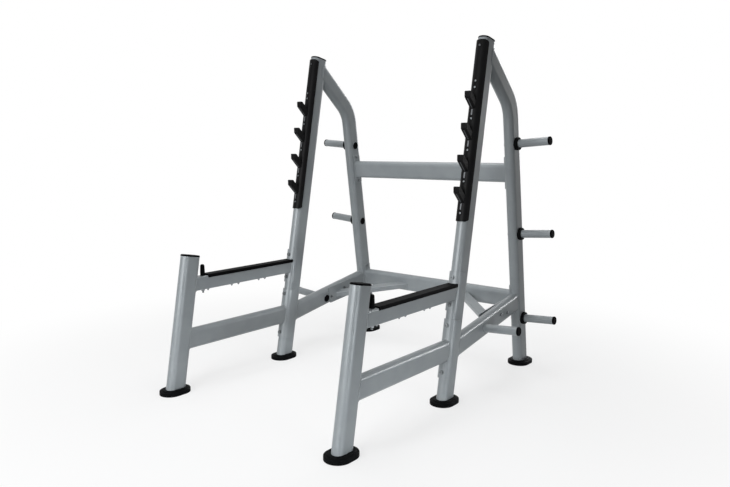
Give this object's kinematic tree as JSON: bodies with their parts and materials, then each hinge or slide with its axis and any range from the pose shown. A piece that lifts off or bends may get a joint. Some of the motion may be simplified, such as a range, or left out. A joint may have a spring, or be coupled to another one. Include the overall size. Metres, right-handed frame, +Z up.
{
  "type": "squat rack",
  "caption": "Free-standing steel rack with leaning uprights, hooked bar rests, spotter arms with liners and angled weight horns.",
  "frame": {"origin": "on the floor, at the middle of the footprint of the six pads", "axes": "+Z up, +X across the rack to the right side frame, +Y from the lifter's front towards the rear tubes"},
  "size_m": [1.6018, 1.756, 1.8031],
  "materials": {
    "frame_paint": "satin silver-grey metallic powder coat",
    "rack_plastic": "black moulded wear plastic, satin",
    "cap_plastic": "black moulded plastic, satin",
    "collar_rubber": "black rubber, dull",
    "foot_rubber": "black moulded rubber, dull",
    "bolt_steel": "zinc-plated steel"
  },
  "bodies": {
    "root": {"arm_liner_l": "rack_plastic", "arm_liner_r": "rack_plastic", "arm_saddle_bolt_bottom_l": "bolt_steel", "arm_saddle_bolt_bottom_r": "bolt_steel", "arm_saddle_bolt_top_l": "bolt_steel", "arm_saddle_bolt_top_r": "bolt_steel", "bar_rack_l": "rack_plastic", "bar_rack_r": "rack_plastic", "brace_l": "frame_paint", "brace_r": "frame_paint", "front_foot_l": "foot_rubber", "front_foot_r": "foot_rubber", "front_leg_l": "frame_paint", "front_leg_r": "frame_paint", "front_rail_l": "frame_paint", "front_rail_r": "frame_paint", "leg_cap_l": "cap_plastic", "leg_cap_r": "cap_plastic", "low_horn_cap_l": "cap_plastic", "low_horn_cap_r": "cap_plastic", "low_horn_collar_l": "collar_rubber", "low_horn_collar_r": "collar_rubber", "low_horn_l": "frame_paint", "low_horn_r": "frame_paint", "lower_crossbar": "frame_paint", "middle_foot_l": "foot_rubber", "middle_foot_r": "foot_rubber", "middle_horn_cap_l": "cap_plastic", "middle_horn_cap_r": "cap_plastic", "middle_horn_collar_l": "collar_rubber", "middle_horn_collar_r": "collar_rubber", "middle_horn_l": "frame_paint", "middle_horn_r": "frame_paint", "rail_horn_cap_l": "cap_plastic", "rail_horn_cap_r": "cap_plastic", "rail_horn_l": "frame_paint", "rail_horn_r": "frame_paint", "rail_saddle_bolt_bottom_l": "bolt_steel", "rail_saddle_bolt_bottom_r": "bolt_steel", "rail_saddle_bolt_top_l": "bolt_steel", "rail_saddle_bolt_top_r": "bolt_steel", "rear_foot_l": "foot_rubber", "rear_foot_r": "foot_rubber", "rear_tube_l": "frame_paint", "rear_tube_r": "frame_paint", "side_rail_l": "frame_paint", "side_rail_r": "frame_paint", "spotter_arm_l": "frame_paint", "spotter_arm_r": "frame_paint", "top_horn_cap_l": "cap_plastic", "top_horn_cap_r": "cap_plastic", "top_horn_collar_l": "collar_rubber", "top_horn_collar_r": "collar_rubber", "top_horn_l": "frame_paint", "top_horn_r": "frame_paint", "upper_crossbar": "frame_paint", "upright_cap_l": "cap_plastic", "upright_cap_r": "cap_plastic", "upright_l": "frame_paint", "upright_r": "frame_paint"}
  },
  "joints": []
}
